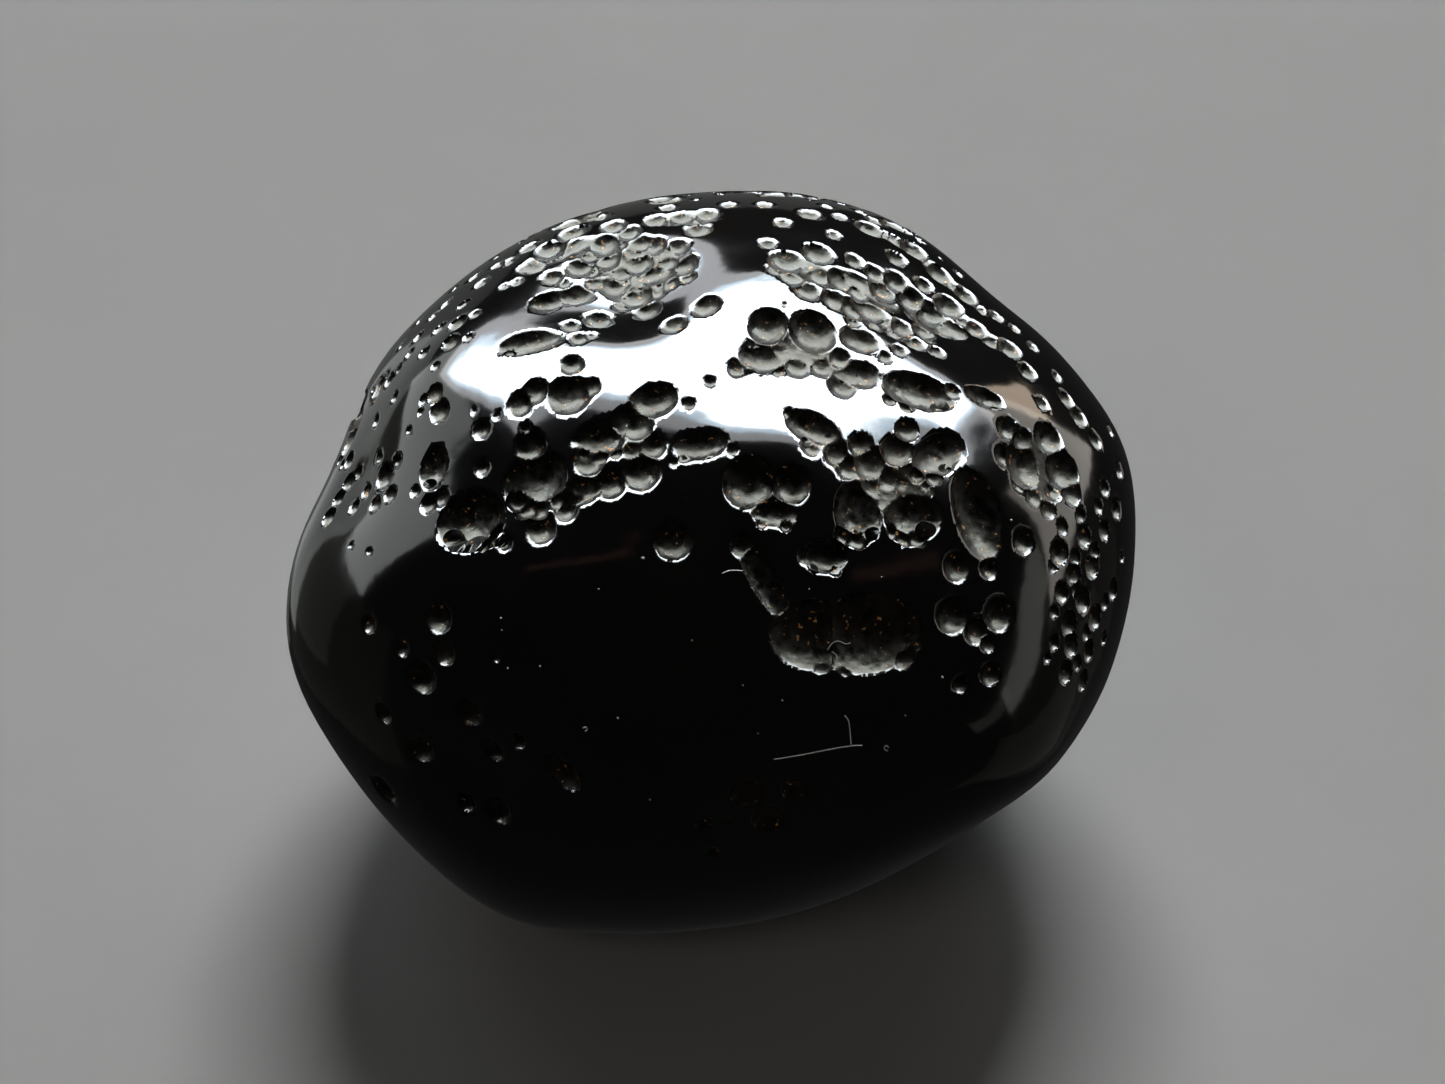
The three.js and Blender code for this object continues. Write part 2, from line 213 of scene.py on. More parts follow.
# The bubble pits, in millimetres. Single bubbles of the face are [right, up, radius]. Troughs and
# bowls are [right, up, half length, half width, depth axis, turn], and a bowl also has how many
# small bubbles scallop its lower wall. On the other sides pits come in clusters:
# [azimuth, elevation, half length, half width, turn, how many, largest radius].
bubblePits = {
    "rise": 0.45,            # a pit's centre stands above the skin by this share of its depth
    "widen": 1.15,           # its bubble against the radius given here, which is its mouth's
    "scallopDepth": 50,      # how far round a bowl's wall from its floor the scallops lie, degrees
    "scallopSpread": 62,     # how far they reach to both sides of straight down
    "scallopSize": 0.34,     # their radius against the bowl's half width
    "scallopSizes": [0.8, 0.4],      # how that varies: the least share, and what chance adds
    "scallopStray": 0.12,    # how far one may stray sideways, in radians
    "scallopDrift": 14,      # and up or down, in degrees
    "bubbles": {
        "leftShoulder": [
            [-10.7, 5.5, 0.25], [-9.35, 5.65, 0.36], [-9.7, 5.4, 0.2], [-9.15, 5.05, 0.42],
            [-9.8, 5.0, 0.15], [-10.2, 4.4, 0.15], [-11.3, 4.7, 0.25], [-10.6, 3.4, 0.25],
            [-11.0, 2.9, 0.5], [-12.2, 3.4, 0.35], [-12.2, 2.7, 0.35], [-11.6, 2.4, 0.3],
            [-12.8, 1.6, 0.4], [-9.95, 2.4, 0.2], [-9.5, 2.0, 0.32], [-9.1, 2.2, 0.32],
            [-7.75, 4.45, 0.32], [-8.0, 5.05, 0.13], [-7.25, 4.9, 0.15], [-7.75, 3.2, 0.27],
            [-7.0, 0.72, 0.28], [-12.1, 0.6, 0.15], [-11.5, 0.4, 0.15], [-9.3, 6.55, 0.2],
            [-12.5, 3.9, 0.3], [-11.9, 3.0, 0.3], [-12.5, 2.2, 0.35], [-11.3, 2.0, 0.3],
            [-12.0, 1.9, 0.3], [-11.2, 3.5, 0.25], [-10.8, 2.3, 0.3], [-12.9, 2.9, 0.25],
        ],
        "leftOfBrow": [
            [-6.5, 5.3, 0.45], [-6.0, 5.7, 0.45], [-4.1, 5.85, 0.32], [-4.75, 6.65, 0.42],
            [-6.15, 3.85, 0.56], [-6.3, 4.45, 0.2], [-2.65, 4.65, 0.58], [-4.2, 3.4, 0.52],
            [-4.65, 4.1, 0.18], [-2.1, 3.9, 0.44], [-2.75, 3.75, 0.35], [-5.8, 1.2, 0.52],
            [-5.0, 1.85, 0.46], [-4.35, 2.45, 0.46], [-3.5, 2.7, 0.54], [-2.5, 3.05, 0.64],
            [-1.4, 3.35, 0.16], [0.5, 3.75, 0.2], [-1.45, 0.75, 0.62], [-0.9, 5.3, 0.22],
            [-1.0, 2.24, 0.08], [-0.2, 6.05, 0.22], [-0.4, 8.55, 0.5],
        ],
        "rightOfBrow": [
            [3.2, 3.9, 0.36], [4.0, 3.65, 0.44], [2.4, 5.0, 0.2], [1.05, 2.65, 0.86],
            [2.5, 2.6, 0.66], [3.0, 0.25, 0.32], [5.1, 3.3, 0.6], [5.95, 3.75, 0.55],
            [6.3, 4.45, 0.42], [4.4, 3.2, 0.45], [5.75, 2.8, 0.5], [4.8, 3.95, 0.42],
            [1.7, 7.85, 0.68], [0.7, 6.5, 0.36], [3.25, 7.7, 0.82], [2.7, 6.6, 0.5],
            [3.5, 6.6, 0.45],
            [4.2, 5.95, 0.52], [4.9, 6.25, 0.5], [4.1, 6.8, 0.4], [2.25, 8.6, 0.15],
            [7.85, 5.75, 0.34], [5.6, 6.9, 0.3], [5.9, 7.75, 0.46], [5.2, 2.6, 0.48],
            [6.25, 2.7, 0.42], [5.65, 2.15, 0.34], [2.1, 7.1, 0.4], [1.3, 7.2, 0.35],
            [4.9, 2.1, 0.3], [6.9, 2.6, 0.3], [6.6, 7.35, 0.42], [5.3, 8.0, 0.4],
            [7.3, 7.05, 0.35], [6.1, 7.1, 0.3], [7.0, 7.5, 0.3], [4.6, 8.05, 0.3],
        ],
        "rightOfFace": [
            [10.2, 0.75, 0.44], [8.0, -0.1, 0.5], [9.05, -0.15, 0.36], [7.85, -1.7, 0.62],
            [8.6, -2.2, 0.46], [9.0, -2.65, 0.3], [9.35, -1.65, 0.57], [8.1, -4.0, 0.3],
            [9.1, -3.65, 0.4],
        ],
        "inCrater": [
            [6.2, -3.1, 0.45], [6.6, -2.7, 0.3], [3.5, -3.3, 0.4], [4.3, -3.5, 0.3],
            [0.9, 0.6, 0.42],
        ],
        "rightSide": [
            [9.7, 4.5, 0.48], [9.6, 3.6, 0.45], [10.35, 3.3, 0.9], [11.0, 4.2, 0.64],
            [11.5, 3.1, 0.78], [11.8, 2.35, 0.5], [10.6, 2.3, 0.5], [11.0, 1.8, 0.36],
            [11.4, 0.35, 0.45], [12.2, 0.9, 0.42], [11.85, -0.35, 0.42], [12.5, -0.1, 0.45],
            [11.45, -0.95, 0.36], [12.2, -1.2, 0.48], [11.7, -2.0, 0.45], [12.6, -1.8, 0.45],
            [11.8, -2.7, 0.42], [12.4, -2.9, 0.4], [11.6, -3.6, 0.42], [12.2, -3.9, 0.4],
            [13.4, 3.1, 0.4], [13.3, 1.8, 0.45], [12.9, 1.1, 0.4], [13.2, -0.9, 0.4],
            [12.9, 2.5, 0.35], [12.1, 1.6, 0.3], [11.6, 5.5, 0.4], [12.0, 4.9, 0.47],
            [12.6, 4.1, 0.4], [13.1, 4.4, 0.3], [11.3, 6.2, 0.3], [10.8, 5.3, 0.3],
            [10.2, 4.1, 0.5], [10.7, 3.0, 0.5], [10.1, 2.7, 0.42], [10.5, 3.7, 0.36],
            [11.2, 2.5, 0.45], [9.9, 3.2, 0.3], [11.5, 1.2, 0.3], [12.6, 0.4, 0.3],
            [11.9, 0.2, 0.3], [11.2, -0.1, 0.26], [12.0, -0.9, 0.3], [11.2, -1.6, 0.24],
            [12.9, -1.3, 0.3], [12.3, -2.3, 0.32], [11.2, -2.6, 0.28], [12.0, -3.3, 0.3],
            [12.9, -2.5, 0.28], [11.0, -3.1, 0.2], [12.7, 1.9, 0.3], [13.5, 0.2, 0.25],
        ],
        "upperRight": [
            [2.35, 10.1, 0.66], [3.4, 10.3, 0.6], [4.25, 9.4, 0.62], [3.5, 9.6, 0.6],
            [3.05, 9.1, 0.54], [2.55, 9.6, 0.54], [4.8, 9.1, 0.6], [5.2, 8.5, 0.66],
            [5.6, 9.05, 0.54], [6.0, 9.3, 0.48], [6.5, 8.75, 0.6], [7.1, 8.3, 0.6],
            [7.7, 8.5, 0.54], [6.2, 7.85, 0.45], [6.9, 7.75, 0.45], [7.6, 7.85, 0.5],
            [4.6, 8.5, 0.54], [4.0, 8.75, 0.54], [8.55, 7.8, 0.45], [9.1, 7.4, 0.4],
            [9.7, 7.15, 0.5], [10.3, 6.4, 0.42], [5.1, 11.1, 0.6], [6.6, 10.4, 0.6],
            [5.9, 10.8, 0.35], [7.4, 9.6, 0.6], [8.3, 8.9, 0.54], [3.1, 11.6, 0.48],
            [2.2, 11.3, 0.35], [1.6, 11.9, 0.35], [0.4, 11.9, 0.35], [9.3, 8.2, 0.35],
            [1.7, 10.6, 0.35], [4.1, 11.5, 0.35], [7.0, 10.0, 0.3], [10.5, 7.2, 0.3],
            [6.0, 10.1, 0.4], [7.9, 9.2, 0.35], [6.9, 9.2, 0.35], [8.8, 8.4, 0.3],
            [2.0, 9.8, 0.4], [5.3, 9.6, 0.4], [4.6, 10.0, 0.35], [3.9, 10.9, 0.3],
            [5.6, 8.1, 0.4], [8.1, 8.1, 0.35], [9.9, 7.8, 0.3], [6.4, 11.0, 0.3],
        ],
        "upperLeft": [
            [-4.75, 7.9, 0.34], [-4.5, 7.5, 0.34], [-3.8, 8.1, 0.5], [-4.1, 7.6, 0.22],
            [-5.6, 8.65, 0.53], [-3.3, 9.2, 0.53], [-2.65, 8.85, 0.58], [-2.3, 8.4, 0.48],
            [-3.05, 8.6, 0.36], [-2.0, 9.0, 0.36], [-1.45, 7.95, 0.42], [-3.1, 9.65, 0.5],
            [-1.15, 9.9, 0.53], [-2.1, 10.55, 0.48], [-2.65, 10.35, 0.48], [-5.5, 10.45, 0.62],
            [-5.95, 9.95, 0.6], [-4.75, 11.0, 0.6], [-3.7, 10.6, 0.62], [-4.45, 9.85, 0.55],
            [-4.9, 10.35, 0.48], [-4.1, 10.25, 0.48], [-6.2, 10.5, 0.48], [-3.4, 11.2, 0.48],
            [-1.15, 11.5, 0.5], [-0.6, 11.1, 0.5], [-0.3, 11.6, 0.48], [-2.0, 11.4, 0.48],
            [-1.05, 10.6, 0.22], [-8.05, 9.5, 0.32], [-6.6, 9.35, 0.27], [-8.6, 8.0, 0.4],
            [-9.2, 7.8, 0.32], [-8.8, 7.35, 0.36], [-10.2, 6.95, 0.28], [-9.9, 7.5, 0.3],
            [-7.3, 9.9, 0.3], [-11.0, 6.2, 0.25], [-5.2, 11.2, 0.4], [-3.0, 10.1, 0.36],
            [-2.9, 11.0, 0.45], [-6.4, 9.8, 0.3], [-5.4, 9.5, 0.4], [-4.0, 9.3, 0.36],
            [-3.6, 10.1, 0.56], [-2.5, 9.4, 0.46], [-1.75, 10.0, 0.56], [-1.6, 9.3, 0.36],
            [-2.6, 10.0, 0.66], [-3.1, 9.4, 0.45], [-1.3, 10.5, 0.4], [-2.5, 10.6, 0.45],
            [-4.1, 9.7, 0.4], [-3.3, 10.6, 0.4], [-1.0, 9.5, 0.3],
            [-8.4, 8.6, 0.3], [-9.0, 8.6, 0.3], [-7.8, 9.3, 0.35], [-8.7, 9.1, 0.25],
            [-9.7, 7.0, 0.3], [-9.9, 8.0, 0.25], [-9.4, 8.2, 0.3], [-10.6, 6.4, 0.3],
            [-7.0, 9.2, 0.25], [-8.2, 7.5, 0.2], [-10.5, 7.2, 0.25], [-8.0, 8.3, 0.25],
            [-6.9, 10.0, 0.35], [-3.9, 11.5, 0.4], [-1.6, 11.8, 0.35], [-5.0, 9.3, 0.25],
        ],
        "lowOnFace": [
            [-9.2, -1.8, 0.5], [-9.8, -3.8, 0.6], [-8.2, -5.0, 0.5], [-11.0, -5.0, 0.36],
            [-9.8, -6.2, 0.5], [-7.4, -6.2, 0.4], [-6.55, -5.9, 0.3], [-7.3, -8.2, 0.5],
            [-11.0, -7.6, 0.6], [-8.3, -7.9, 0.35], [-9.0, -3.0, 0.4], [-10.4, -2.8, 0.3],
            [-7.3, -3.1, 0.2], [-11.5, -2.0, 0.3], [1.0, -7.6, 0.55], [1.75, -8.5, 0.55],
            [-0.4, -8.7, 0.3], [0.4, -8.5, 0.2], [-0.1, -9.6, 0.25], [2.6, -7.5, 0.42],
        ],
    },
    "bowls": [
        [-9.35, 3.2, 0.74, 0.6, 0.6, 80, 2],
        [-8.05, 1.5, 1.3, 1.02, 0.9, 0, 5],
        [-6.0, 2.75, 1.16, 0.94, 0.82, 18, 4],
        [-4.85, 5.6, 0.78, 0.68, 0.66, 0, 0],
        [-3.75, 4.15, 0.84, 0.64, 0.64, 10, 3],
        [-2.0, 5.45, 0.76, 0.6, 0.62, 22, 0],
        [-0.6, 3.95, 0.86, 0.5, 0.54, 5, 2],
        [-5.92, 7.46, 1.34, 0.54, 0.56, -3, 4],
        [-4.5, 8.9, 0.72, 0.48, 0.5, 0, 2],
        [-2.2, 9.65, 0.9, 0.6, 0.62, -5, 2],
        [1.5, 6.85, 0.8, 0.62, 0.62, -10, 3],
        [4.8, 7.45, 0.72, 0.55, 0.55, 0, 2],
        [6.5, 5.8, 1.38, 0.7, 0.7, -5, 5],
        [8.9, 5.55, 0.86, 0.42, 0.46, 5, 2],
        [3.25, 4.5, 0.96, 0.52, 0.56, -20, 2],
        [7.3, 3.6, 1.06, 0.66, 0.66, 30, 3],
        [4.7, 1.75, 1.1, 0.8, 0.8, 90, 3],
        [6.5, 1.62, 1.04, 0.84, 0.8, 0, 4],
        [1.9, 1.7, 0.78, 0.48, 0.52, -5, 2],
        [3.6, 0.25, 0.78, 0.56, 0.58, 0, 2],
        [4.8, -2.35, 2.0, 1.35, 1.0, 0, 0],      # crater
        [-5.1, -6.9, 0.75, 0.4, 0.45, -52, 0],
    ],
    "troughs": [
        [3.2, -2.4, 1.5, 1.15, 0.9, -8],         # bay at the crater's left end
        [1.55, -0.45, 1.85, 0.46, 0.46, -60],    # groove that runs down into it
        [8.65, 1.7, 1.6, 0.9, 0.85, 112],        # smooth hollow right of the brow
        [5.6, 2.6, 1.5, 1.0, 0.34, 0],           # these fuse the bubbles of a group
        [10.7, 3.3, 1.45, 1.25, 0.4, 65],
        [-3.0, 4.7, 1.4, 0.45, 0.46, 35],
        [-4.0, 2.5, 1.7, 0.28, 0.4, 28],
        [2.7, 7.0, 1.5, 0.75, 0.36, -8],
        [4.5, 6.3, 0.8, 0.5, 0.45, 10],
        [3.4, 9.7, 1.5, 0.75, 0.32, -25],
        [5.3, 8.9, 1.5, 0.6, 0.32, -12],
        [7.0, 8.1, 1.3, 0.6, 0.32, -10],
        [6.3, 10.5, 1.7, 0.4, 0.4, -30],
        [-5.0, 8.8, 1.0, 0.42, 0.42, 5],
        [-2.7, 8.9, 0.9, 0.5, 0.35, -30],
        [-2.6, 9.9, 1.6, 0.7, 0.3, 0],
        [-4.9, 10.4, 1.5, 0.65, 0.5, 8],
        [-1.0, 11.4, 1.2, 0.42, 0.4, -3],
    ],
    "farClusters": [
        [150, 48, 5.0, 2.4, 20, 12, 0.85], [205, 52, 4.6, 2.2, -25, 10, 0.8],
        [118, 18, 3.0, 2.2, 70, 9, 0.85], [165, 8, 4.0, 1.9, -15, 10, 0.9],
        [212, 6, 2.8, 2.0, 40, 8, 0.8], [262, 20, 3.0, 1.8, 80, 7, 0.8],
        [245, -28, 2.8, 1.8, 10, 6, 0.75], [135, -30, 3.2, 1.8, -30, 6, 0.8],
        [188, -38, 2.6, 1.6, 15, 5, 0.75],
    ],
    "clusterUnrest": 0.9,    # how far a pit may turn away from its even place, in radians
    "largeSizes": [0.55, 0.45],      # share of the largest radius: the least, and what chance adds
    "largeStretch": 0.6,     # how much longer than broad a large one may be
    "smallPerLarge": 3,      # small pits that go with each large one
    "smallRadius": [0.14, 0.34],
    "smallSpread": 1.35,     # how much wider their cluster is
}
goldenTurn = math.pi * (3 - math.sqrt(5))    # between one pit of a cluster and the next


def scatter(seed):
    # a number from 0 to 1 that looks random and is always the same for the same seed; the
    # numbers that seeds are made with below only keep one draw apart from the next
    pace, reach = 12.9898, 43758.5453
    value = math.sin(seed * pace) * reach
    return value - math.floor(value)


def addPit(pits, place, length, breadth, depthAxis, lengthwise):
    out = unit(place)
    along = unit(lengthwise - out * (lengthwise @ out))
    turned = np.array([along, np.cross(along, out), out])
    semi = np.array([length, breadth, depthAxis]) * bubblePits["widen"]
    pits.append((toStone(place) + out * bubblePits["rise"] * semi[2], turned, semi))


def addScallops(pits, count, seed):
    # small bubbles along the lower wall of the bowl added last
    centre, turned, semi = pits[-1]
    lowest = math.atan2(-(faceUp @ turned[1]), -(faceUp @ turned[0]))
    least, more = bubblePits["scallopSizes"]
    for i in range(count):
        spread = math.radians(bubblePits["scallopSpread"]) * (2 * (i + 0.5) / count - 1)
        angle = lowest + spread + bubblePits["scallopStray"] * (scatter(seed + i) - 0.5)
        drift = bubblePits["scallopDrift"] * (scatter(seed + i + 40) - 0.5)
        depth = math.radians(bubblePits["scallopDepth"] + drift)
        local = semi * [math.sin(depth) * math.cos(angle), math.sin(depth) * math.sin(angle),
                        -math.cos(depth)]
        size = least + more * scatter(seed + i + 80)
        radius = semi[1] * bubblePits["scallopSize"] * size
        pits.append((centre + local @ turned, turned, np.full(3, radius)))


def addCluster(pits, cluster, seed):
    azimuth, elevation, length, breadth, turn, count, largest = cluster
    out = compass(azimuth, elevation)
    east = unit(np.cross([0.0, 0.0, 1.0], out))
    north = np.cross(out, east)
    tilt = math.radians(turn)
    least, more = bubblePits["largeSizes"]
    small, most = bubblePits["smallRadius"]
    manySmall = count * bubblePits["smallPerLarge"]
    # first the large ones, then the small ones, whose seeds start 50 further on
    for ring, total, widen in ((0, count, 1), (50, manySmall, bubblePits["smallSpread"])):
        for i in range(total):
            key = seed * 100 + ring + i
            reach = math.sqrt((i + 0.5) / total) * widen
            angle = i * goldenTurn + bubblePits["clusterUnrest"] * scatter(key)
            a, b = length * reach * math.cos(angle), breadth * reach * math.sin(angle)
            direction = unit(out * meanRadius
                             + east * (a * math.cos(tilt) - b * math.sin(tilt))
                             + north * (a * math.sin(tilt) + b * math.cos(tilt)))
            place = direction * formRadius(direction[None])[0]
            if ring:
                radius = small + (most - small) * scatter(key + 0.5) ** 2
                stretch = 1
            else:
                radius = largest * (least + more * scatter(key + 0.5))
                stretch = 1 + bubblePits["largeStretch"] * scatter(key + 0.7) ** 2
            lengthwise = east * math.cos(angle) + north * math.sin(angle)
            addPit(pits, place, radius * stretch, radius, radius, lengthwise)


def collectPits():
    pits = []
    for region in bubblePits["bubbles"].values():
        for x, y, radius in region:
            addPit(pits, skinBehind(x, y), radius, radius, radius, faceRight)
    for index, hollow in enumerate(bubblePits["troughs"] + bubblePits["bowls"]):
        x, y, length, breadth, depthAxis, turn, *scallops = hollow
        tilt = math.radians(turn)
        lengthwise = faceRight * math.cos(tilt) + faceUp * math.sin(tilt)
        addPit(pits, skinBehind(x, y), length, breadth, depthAxis, lengthwise)
        if scallops:
            addScallops(pits, scallops[0], index * 7.3)
    for index, cluster in enumerate(bubblePits["farClusters"]):
        addCluster(pits, cluster, index + 1)
    return pits


pits = collectPits()
print("stone: %d pits" % len(pits))


# How finely the skin is cut up, in millimetres of edge.
skinMesh = {
    "subdivisions": 6,               # of the ball that it starts from
    "land": 0.5,                     # longest edge wanted far from a pit
    "rim": [0.19, 0.095, 0.14],      # at a pit's rim: share of its radius, at least, at most
    "farRim": [0.36, 0.2, 0.3],      # the same away from the face
    "faceDepth": -1.5,               # how far behind the middle the finer rims still reach
    "rimBand": 0.08,                 # how far from a rim edges stay as short as on it
    "growth": 0.45,                  # how fast edges may lengthen away from a rim
    "wall": 0.26,                    # longest edge inside a pit, as a share of its radius
    "cuts": 3,                       # rounds of cutting before the skin is first evened out
    "tooLong": 1.35,                 # an edge is cut when it is this many times too long
    "cutMargin": 1.2,                # how far round a pit its edges are planned
    "settles": 5,                    # rounds each time it is evened out
    "margin": 0.4,                   # how far round a pit its wall can matter to a vertex
    "longestStep": 0.4,              # how far a vertex moves at once
    "snap": 0.45,                    # vertices this share of an edge from a rim move onto it
    "leastSpread": 0.08,             # surfaces that meet flatter than this make no rim
}


def pitDistance(pit, places):
    # distance to a pit's wall, negative inside it, and its slope
    centre, turned, semi = pit
    local = (places - centre) @ turned.T
    tiny = 1e-9
    ratio = np.linalg.norm(local / semi, axis=1) + tiny
    steep = np.linalg.norm(local / semi ** 2, axis=1) + tiny
    slope = (local / semi ** 2 / steep[:, None]) @ turned
    return ratio * (ratio - 1) / steep, slope


def nearPits(places, margin):
    # for each pit, the places that lie within its longest radius and a margin
    tree = kdtree.KDTree(len(places))
    for index, place in enumerate(places):
        tree.insert(place, index)
    tree.balance()
    return [np.array([hit[1] for hit in tree.find_range(pit[0], pit[2].max() + margin)], int)
            for pit in pits]


def stoneDistance(places, near):
    # the two surfaces that bound the stone most closely at each place: how far the place stands
    # outside each, and the slope of that distance
    step, unset = 0.01, -9.0
    plain = formDistance(places)
    slope = np.stack([(formDistance(places + np.eye(3)[axis] * step) - plain) / step
                      for axis in range(3)], axis=1)
    ground = lowCorner[2] - places[:, 2]
    share = np.clip(0.5 + 0.5 * (ground - plain) / stoneForm["restFillet"], 0, 1)
    distance = np.full((2, len(places)), unset)
    slopes = np.zeros((2, len(places), 3))
    distance[0] = (plain * (1 - share) + ground * share
                   + stoneForm["restFillet"] * share * (1 - share))
    slopes[0] = slope * (1 - share)[:, None]
    slopes[0, :, 2] -= share
    for pit, members in zip(pits, near):
        if len(members) == 0:
            continue
        wall, wallSlope = pitDistance(pit, places[members])
        wall, wallSlope = -wall, -wallSlope
        first = wall > distance[0, members]
        second = ~first & (wall > distance[1, members])
        over, under = members[first], members[second]
        distance[1, over], slopes[1, over] = distance[0, over], slopes[0, over]
        distance[0, over], slopes[0, over] = wall[first], wallSlope[first]
        distance[1, under], slopes[1, under] = wall[second], wallSlope[second]
    return distance, slopes


def wantedEdge(places, near):
    # the longest edge wanted at each place
    wanted = np.full(len(places), skinMesh["land"])
    for (centre, turned, semi), members in zip(pits, near):
        if len(members) == 0:
            continue
        onFace = (centre - stoneMiddle) @ faceOut > skinMesh["faceDepth"]
        share, least, most = skinMesh["rim" if onFace else "farRim"]
        wall, _ = pitDistance((centre, turned, semi), places[members])
        rim = min(max(share * semi.min(), least), most)
        away = np.maximum(np.abs(wall) - skinMesh["rimBand"], 0)
        grown = rim + skinMesh["growth"] * away
        inside = np.where(wall < 0, max(skinMesh["wall"] * semi.min(), rim), skinMesh["land"])
        wanted[members] = np.minimum(wanted[members], np.minimum(grown, inside))
    return wanted


def cutLongEdges(skin):
    skin.verts.index_update()
    places = vertexPlaces(skin)
    wanted = wantedEdge(places, nearPits(places, skinMesh["cutMargin"]))
    long = [edge for edge in skin.edges if edge.calc_length() > skinMesh["tooLong"]
            * min(wanted[edge.verts[0].index], wanted[edge.verts[1].index])]
    bmesh.ops.subdivide_edges(skin, edges=long, cuts=1)
    bmesh.ops.triangulate(skin, faces=[face for face in skin.faces if len(face.verts) > 3])
    # the cuts can leave two triangles back to back on one edge, so their shared tip goes
    tips = [vertex for vertex in skin.verts if len(vertex.link_edges) < 3]
    bmesh.ops.delete(skin, geom=tips, context="VERTS")
    return len(long)


def settleOnStone(skin, rounds, smooth):
    # vertices spread out evenly and drop back onto the surface, which two steps are enough for
    longest, flattest = skinMesh["longestStep"], 0.2
    near = None
    for turn in range(rounds):
        if smooth:
            bmesh.ops.smooth_vert(skin, verts=skin.verts[:], factor=0.5, use_axis_x=True,
                                  use_axis_y=True, use_axis_z=True)
        places = vertexPlaces(skin)
        if turn % 3 == 0:        # which pits are near changes slowly
            near = nearPits(places, skinMesh["margin"])
        for _ in range(2):
            distance, slopes = stoneDistance(places, near)
            size = np.maximum((slopes[0] ** 2).sum(1), flattest)
            step = np.clip(distance[0], -longest, longest) / size
            places = places - slopes[0] * step[:, None]
        moveVertices(skin, places)


def snapToRims(skin):
    # vertices that lie close to where two surfaces meet move onto that edge, so rims stay crisp
    places = vertexPlaces(skin)
    near = nearPits(places, skinMesh["margin"])
    reach = skinMesh["snap"] * wantedEdge(places, near)
    start = places.copy()
    for _ in range(3):
        distance, slopes = stoneDistance(places, near)
        a, b = (slopes[0] ** 2).sum(1), (slopes[1] ** 2).sum(1)
        c = (slopes[0] * slopes[1]).sum(1)
        spread = a * b - c * c
        sharp = spread > skinMesh["leastSpread"]
        spread = np.where(sharp, spread, 1)
        alongFirst = (b * distance[0] - c * distance[1]) / spread
        alongSecond = (a * distance[1] - c * distance[0]) / spread
        shift = slopes[0] * alongFirst[:, None] + slopes[1] * alongSecond[:, None]
        moved = places - shift
        close = sharp & (np.linalg.norm(moved - start, axis=1) < reach)
        places = np.where(close[:, None], moved, places)
    moveVertices(skin, places)
    return int(close.sum())


def makeStone():
    skin = icosphere(skinMesh["subdivisions"])
    directions = unit(vertexPlaces(skin))
    moveVertices(skin, toStone(directions * formRadius(directions)[:, None]))
    for _ in range(skinMesh["cuts"]):
        print("stone: cut %d edges, now %d faces" % (cutLongEdges(skin), len(skin.faces)))
    settleOnStone(skin, 1, False)
    settleOnStone(skin, skinMesh["settles"], True)
    print("stone: cut %d edges, now %d faces" % (cutLongEdges(skin), len(skin.faces)))
    settleOnStone(skin, skinMesh["settles"], True)
    print("stone: %d vertices moved onto rims" % snapToRims(skin))
    moveVertices(skin, np.clip(vertexPlaces(skin), lowCorner, highCorner))
    return skin


def inScene(name, data):
    thing = bpy.data.objects.new(name, data)
    bpy.context.scene.collection.objects.link(thing)
    return thing


def finishPiece(shape, name, material):
    # from millimetres in a bmesh to an object in metres
    bmesh.ops.scale(shape, verts=shape.verts, vec=(mm, mm, mm))
    mesh = bpy.data.meshes.new(name)
    shape.to_mesh(mesh)
    shape.free()
    mesh.shade_smooth()
    mesh.materials.append(material)
    return inScene(name, mesh)


def finishStone(skin):
    # how deep each vertex lies under the smooth form is kept for the finish
    depths = np.clip(-formDistance(vertexPlaces(skin)) / glassFinish["fullDepth"], 0, 1)
    stone = finishPiece(skin, "stone", blackGlass())
    kept = stone.data.attributes.new("pitDepth", "FLOAT", "POINT")
    kept.data.foreach_set("value", depths)
    return stone


# Lint caught on the face, in millimetres. The points of a thread are [right, up] on the face. A
# noise here and below is [features per metre, detail, roughness, distortion], or begins so.
lintThreads = {
    "paths": [
        [[1.93, -6.55], [2.79, -6.42], [3.46, -6.28], [4.49, -6.09], [4.86, -6.09]],
        [[4.49, -6.09], [4.46, -5.75], [4.42, -5.25], [4.27, -5.10]],
        [[0.20, -0.38], [0.40, -0.29], [0.62, -0.27], [0.87, -0.30]],
        [[3.70, -2.93], [3.88, -2.66], [4.10, -2.62], [4.28, -2.74], [4.46, -2.69]],
        [[3.86, -2.99], [4.02, -3.10], [3.99, -3.26]],
        [[5.73, -6.16], [5.66, -6.08], [5.58, -6.14], [5.60, -6.24], [5.70, -6.26]],
        [[-4.42, -5.52], [-4.33, -5.46], [-4.26, -5.55], [-4.34, -5.62]],
    ],
    "radius": 0.015,
    "sides": 6,
    "softenings": 3,         # rounds of corner cutting along a thread
    "lift": 0.02,            # how far a thread's middle stands above the glass
    "tones": [[0.75, 0.72, 0.66, 1], [0.42, 0.39, 0.34, 1]],
    "toneNoise": [1500, 2],
    "roughness": 0.75,
    "sheen": 0.3,
}

